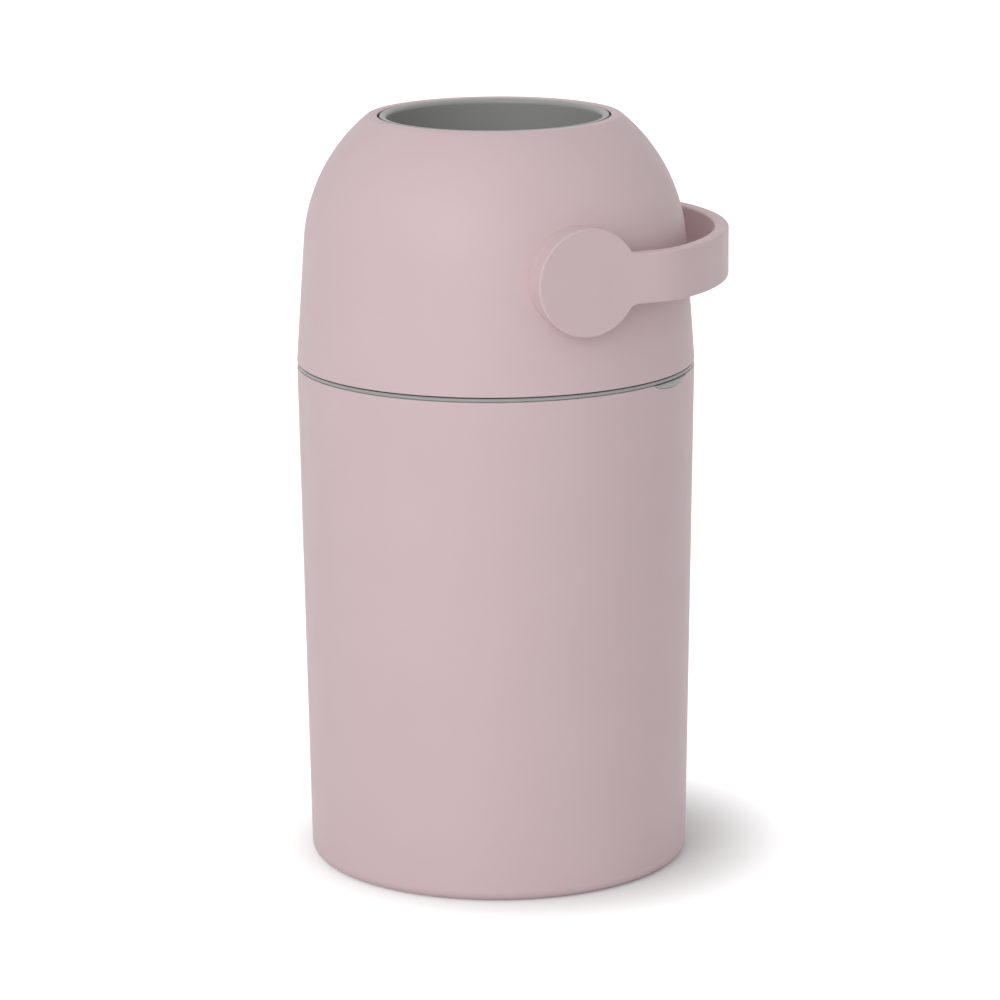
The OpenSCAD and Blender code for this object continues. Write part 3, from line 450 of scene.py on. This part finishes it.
def build_spring():
    """A coil with closed ends behind the blade, built at one length, though the real spring shortens as the tab goes
    in.
    """
    turns, steps, sides, end_pitch = 6, 32, 10, 0.62
    pitch = (SPRING_LENGTH - 2 * SPRING_WIRE - 2 * end_pitch) / (turns - 2)
    verts, faces = [], []
    for i in range(turns * steps + 1):
        t, a = i / steps, 2 * math.pi * i / steps
        rise = end_pitch * (min(t, 1) + max(t - turns + 1, 0)) + pitch * min(max(t - 1, 0), turns - 2)
        for k in range(sides):
            b = 2 * math.pi * k / sides
            r = SPRING_R - SPRING_WIRE * (1 - math.cos(b))
            verts.append((SPRING_BACK + rise + SPRING_WIRE * (1 + math.sin(b)), r * math.cos(a),
                          SPRING_Z + r * math.sin(a)))
    for i in range(turns * steps):
        faces += [[i * sides + k, i * sides + (k + 1) % sides, (i + 1) * sides + (k + 1) % sides, (i + 1) * sides + k]
                  for k in range(sides)]
    faces += [list(range(sides)), list(range(len(verts) - sides, len(verts)))]
    turn = at_azimuth(LATCH_AZ)
    coil = make("latch_coil", (verts, faces), turn)
    smooth(coil)
    finish_piece(coil, STEEL, "steel", "bin", "latch_spring")
    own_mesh(coil)


# ---- Dome ----

def build_dome():
    """The dome with its rounded rim and two handle bosses."""
    top = PIVOT_Z + DRUM_FACE + RIM_LIFT
    away_x, away_z = SEAM_R - CROWN_X, SEAM_Z - PIVOT_Z
    tangent = math.degrees(math.atan2(away_z, away_x) + math.acos(CROWN_R / math.hypot(away_x, away_z)))
    rim_angle = math.degrees(math.asin((DRUM_FACE + RIM_LIFT - RIM_FILLET) / (CROWN_R - RIM_FILLET)))
    rim_x = CROWN_X + (CROWN_R - RIM_FILLET) * math.cos(math.radians(rim_angle))
    inner_r = CROWN_R - DOME_WALL

    def swept_angle(r):
        return math.degrees(math.acos(r / SWEPT_R))

    def wall_r(z):
        return SEAM_R - (z - SEAM_Z) * math.tan(math.radians(tangent))

    edge = 0.5
    inside = SEAM_R - DOME_WALL / math.cos(math.radians(tangent))
    profile = arc(SEAM_R - edge, SEAM_Z + edge, edge, -90, 0, 4)
    profile += [(wall_r(z), z) for z in range(364, 444, 8)]
    profile += arc(CROWN_X, PIVOT_Z, CROWN_R, tangent, rim_angle, 56)
    profile += arc(rim_x, top - RIM_FILLET, RIM_FILLET, rim_angle, 90, 10)
    profile += arc(MOUTH_R + MOUTH_EDGE, top - MOUTH_EDGE, MOUTH_EDGE, 90, 180, 6)
    profile += arc(0, PIVOT_Z, SWEPT_R, swept_angle(MOUTH_R), swept_angle(COLLAR_R), 6)
    profile += arc(CROWN_X, PIVOT_Z, inner_r, math.degrees(math.acos((COLLAR_R - CROWN_X) / inner_r)), tangent, 24)
    profile += [(inside, SEAM_Z + edge), (inside + edge, SEAM_Z)]
    dome = make("dome_wall", lathe(profile))
    for turn in (AT_FRONT, AT_REAR):
        boss = make("boss", prism(circle(BOSS_R), PAD_FACE, BOSS_FACE, 0, 0.4, 4), turn)
        cut(dome, boss, "UNION")
        hole = make("hole", prism(circle(BUSH_HOLE_R, 96), PAD_FACE - 5, BOSS_FACE + 5), turn)
        cut(dome, hole, "DIFFERENCE")
    smooth(dome)
    finish_piece(dome, PINK, "pink_plastic", "dome", "dome_shell")


# ---- Handle ----

HANDLE_ROUND = 1.5
BEND_R = 60.0


def loop_outline():
    """The half ring seen from above, its ends run flat to the discs through a soft bend."""
    bend_x = math.sqrt((LOOP_OUT_R - BEND_R) ** 2 - (DISC_FACE - BEND_R) ** 2)
    bend_y = DISC_FACE - BEND_R
    turn = math.degrees(math.atan2(bend_y, bend_x))
    thick = LOOP_OUT_R - LOOP_IN_R
    points = [(0, -DISC_FACE)]
    points += arc(bend_x, -bend_y, BEND_R, -90, -turn, 12)
    points += arc(0, 0, LOOP_OUT_R, -turn, turn, 120)
    points += arc(bend_x, bend_y, BEND_R, turn, 90, 12)
    points += [(0, DISC_FACE), (0, BAND_BACK)]
    points += arc(bend_x, bend_y, BEND_R - thick, 90, turn, 12)
    points += arc(0, 0, LOOP_IN_R, turn, -turn, 120)
    points += arc(bend_x, -bend_y, BEND_R - thick, -turn, -90, 12)
    points += [(0, -BAND_BACK)]
    return points


def disc_outline(radius, overlap=3.0):
    """One disc and its neck, seen along the drum's axis."""
    reach = radius + NECK_FILLET
    height = BAND_HALF + NECK_FILLET
    neck_x = math.sqrt(reach ** 2 - height ** 2)
    lean = math.degrees(math.atan2(height, neck_x))
    side = BAND_HALF - 0.01
    points = arc(0, 0, radius, lean, 360 - lean, 150)
    points += arc(neck_x, -height, NECK_FILLET, 180 - lean, 90, 12)[1:-1]
    points += [(neck_x, -side), (neck_x + overlap, -side), (neck_x + overlap, side), (neck_x, side)]
    points += arc(neck_x, height, NECK_FILLET, -90, lean - 180, 12)[1:-1]
    return points


def drafted(height):
    """The disc's radius at a distance from the bin's axis."""
    return DISC_R - DISC_DRAFT * (DISC_FACE - height) / (DISC_FACE - DISC_BACK)


def build_handle():
    """The half ring with its two discs."""
    band = prism(loop_outline(), PIVOT_Z - BAND_HALF, PIVOT_Z + BAND_HALF, HANDLE_ROUND, HANDLE_ROUND)
    handle = make("handle_loop", band)
    for turn in (AT_FRONT, AT_REAR):
        layers = [(disc_outline(drafted(BAND_BACK)), BAND_BACK)]
        for k in range(7):
            lean = math.pi / 2 * k / 6
            height = DISC_FACE - HANDLE_ROUND * (1 - math.sin(lean))
            layers.append((inset(disc_outline(drafted(height)), HANDLE_ROUND * (1 - math.cos(lean))), height))
        cut(handle, make("plate", loft(layers), turn), "UNION")
        back = drafted(BAND_BACK)
        disc = [(0, DISC_BACK), (drafted(DISC_BACK) - 0.4, DISC_BACK), (drafted(DISC_BACK), DISC_BACK + 0.4),
                (back, BAND_BACK), (back - 1, BAND_BACK + 0.1), (back - 1, DISC_FACE - 3), (0, DISC_FACE - 3)]
        cut(handle, make("disc", lathe(disc), turn), "UNION")
    smooth(handle)
    finish_piece(handle, PINK, "pink_plastic", "drum", "handle")


# ---- Mouth rings ----

def build_mouth_ring(name, node, side):
    """One of the drum's two mouth rings, on its upper (1) or lower (-1) side."""
    inner, outer = 2.8, 0.5
    profile = [(LIP_R, DRUM_SHELL_TOP)]
    profile += arc(LIP_R + inner, DRUM_FACE - inner, inner, 180, 90, 12)
    profile += arc(MOUTH_RING_R - outer, DRUM_FACE - outer, outer, 90, 0, 5)
    profile += [(MOUTH_RING_R, DRUM_SHELL_TOP - RING_TONGUE), (RING_TONGUE_R, DRUM_SHELL_TOP - RING_TONGUE),
                (RING_TONGUE_R, DRUM_SHELL_TOP)]
    profile = [(r, PIVOT_Z + side * z) for r, z in profile]
    ring = make(name, lathe(profile))
    smooth(ring)
    finish_piece(ring, GREY, "grey_plastic", "drum", node)


# ---- Studio ----

def light(name, azimuth, elevation, distance, size, power, aim=(0, 0, 0.27)):
    """A soft square lamp, at an azimuth and elevation as the views count them."""
    a, e = math.radians(azimuth), math.radians(elevation)
    data = bpy.data.lights.new(name, "AREA")
    data.shape = "SQUARE"
    data.size = size
    data.energy = power
    lamp = bpy.data.objects.new(name, data)
    lamp.location = Vector(aim) + distance * Vector(
        (math.sin(a) * math.cos(e), -math.cos(a) * math.cos(e), math.sin(e)))
    lamp.rotation_euler = (Vector(aim) - lamp.location).to_track_quat("-Z", "Y").to_euler()
    bpy.context.scene.collection.objects.link(lamp)


def seen_ray(nodes, links):
    """1 for the rays that show the background: camera, glossy and transmission rays."""
    path = nodes.new("ShaderNodeLightPath")
    total = path.outputs["Is Camera Ray"]
    for name in ("Is Glossy Ray", "Is Transmission Ray"):
        step = nodes.new("ShaderNodeMath")
        step.operation = "MAXIMUM"
        links.new(total, step.inputs[0])
        links.new(path.outputs[name], step.inputs[1])
        total = step.outputs[0]
    return total


AMBIENT = 0.56
FLOOR_R, FLOOR_DEPTH, FLOOR_GAP = 20000.0, 40.0, 0.2
# middle of the painted shade on the floor, moved to the side where the bin's shadow falls
SHADOW_MIDDLE = (0.026, -0.006, 0)


def build_world():
    """Even light from all sides before a white background."""
    world = bpy.data.worlds.new("studio")
    bpy.context.scene.world = world
    world.use_nodes = True
    nodes, links = world.node_tree.nodes, world.node_tree.links
    ambient = nodes["Background"]
    ambient.inputs["Color"].default_value = (1, 1, 1, 1)
    ambient.inputs["Strength"].default_value = AMBIENT
    white = nodes.new("ShaderNodeBackground")
    white.inputs["Color"].default_value = (1, 1, 1, 1)
    mix = nodes.new("ShaderNodeMixShader")
    links.new(seen_ray(nodes, links), mix.inputs["Fac"])
    links.new(ambient.outputs[0], mix.inputs[1])
    links.new(white.outputs[0], mix.inputs[2])
    links.new(mix.outputs[0], nodes["World Output"].inputs["Surface"])


def build_floor():
    """A white floor that keeps the bin's real shadow; its glow for camera and glossy rays is weaker near the bin, a
    painted shade round SHADOW_MIDDLE on the shadow's side, and whitens it into the background.
    """
    floor = make("floor", prism(circle(FLOOR_R, 96), -FLOOR_DEPTH, -FLOOR_GAP))
    mat = bpy.data.materials.new("floor_white")
    mat.use_nodes = True
    nodes, links = mat.node_tree.nodes, mat.node_tree.links
    nodes.remove(nodes["Principled BSDF"])
    diffuse = nodes.new("ShaderNodeBsdfDiffuse")
    diffuse.inputs["Color"].default_value = (0.8, 0.8, 0.8, 1)
    glow = nodes.new("ShaderNodeEmission")
    coord = nodes.new("ShaderNodeTexCoord")
    length = nodes.new("ShaderNodeVectorMath")
    length.operation = "DISTANCE"
    length.inputs[1].default_value = SHADOW_MIDDLE
    # painted shade: the glow rises from 0.05 near SHADOW_MIDDLE to 0.75 further out, so the floor is darker round the
    # bin than its lamps alone make it
    painted_shade_ramp = nodes.new("ShaderNodeMapRange")
    painted_shade_ramp.interpolation_type = "SMOOTHSTEP"
    painted_shade_ramp.inputs["From Min"].default_value = 0.10
    painted_shade_ramp.inputs["From Max"].default_value = 0.235
    painted_shade_ramp.inputs["To Min"].default_value = 0.05
    painted_shade_ramp.inputs["To Max"].default_value = 0.75
    strength = nodes.new("ShaderNodeMath")
    strength.operation = "MULTIPLY"
    add = nodes.new("ShaderNodeAddShader")
    links.new(coord.outputs["Object"], length.inputs[0])
    links.new(length.outputs["Value"], painted_shade_ramp.inputs["Value"])
    links.new(painted_shade_ramp.outputs["Result"], strength.inputs[0])
    links.new(seen_ray(nodes, links), strength.inputs[1])
    links.new(strength.outputs[0], glow.inputs["Strength"])
    links.new(diffuse.outputs[0], add.inputs[0])
    links.new(glow.outputs[0], add.inputs[1])
    links.new(add.outputs[0], nodes["Material Output"].inputs["Surface"])
    floor.data.materials.append(mat)


CAMERA_PLACE, CAMERA_AIM = Vector((-1.2680, -2.7250, 0.9676)), Vector((0.00210, -0.00098, 0.2563))
CAMERA_LENS, CAMERA_ROLL = 155.75, math.radians(-0.38)


def build_camera():
    """The photograph's view: a long lens, a little above the bin."""
    data = bpy.data.cameras.new("camera")
    data.sensor_width = 36.0
    data.sensor_fit = "HORIZONTAL"
    data.lens = CAMERA_LENS
    data.clip_end = 100
    camera = bpy.data.objects.new("camera", data)
    look = (CAMERA_AIM - CAMERA_PLACE).to_track_quat("-Z", "Y").to_matrix().to_4x4()
    camera.matrix_world = Matrix.Translation(CAMERA_PLACE) @ look @ Matrix.Rotation(CAMERA_ROLL, 4, "Z")
    bpy.context.scene.collection.objects.link(camera)
    bpy.context.scene.camera = camera


build_camera()
build_tub()
build_latch()
build_spring()
build_dome()
build_handle()
build_mouth_ring("upper_mouth_trim", "upper_mouth_ring", 1)
build_mouth_ring("lower_mouth_trim", "lower_mouth_ring", -1)
dress_cad()
build_world()
build_floor()
light("key", -45, 18, 2.8, 1.6, 18)
light("side", -62, 38, 2.6, 1.6, 9)
light("fill", 80, 15, 3.0, 1.8, 3.2)

bpy.context.scene.view_settings.view_transform = "Standard"
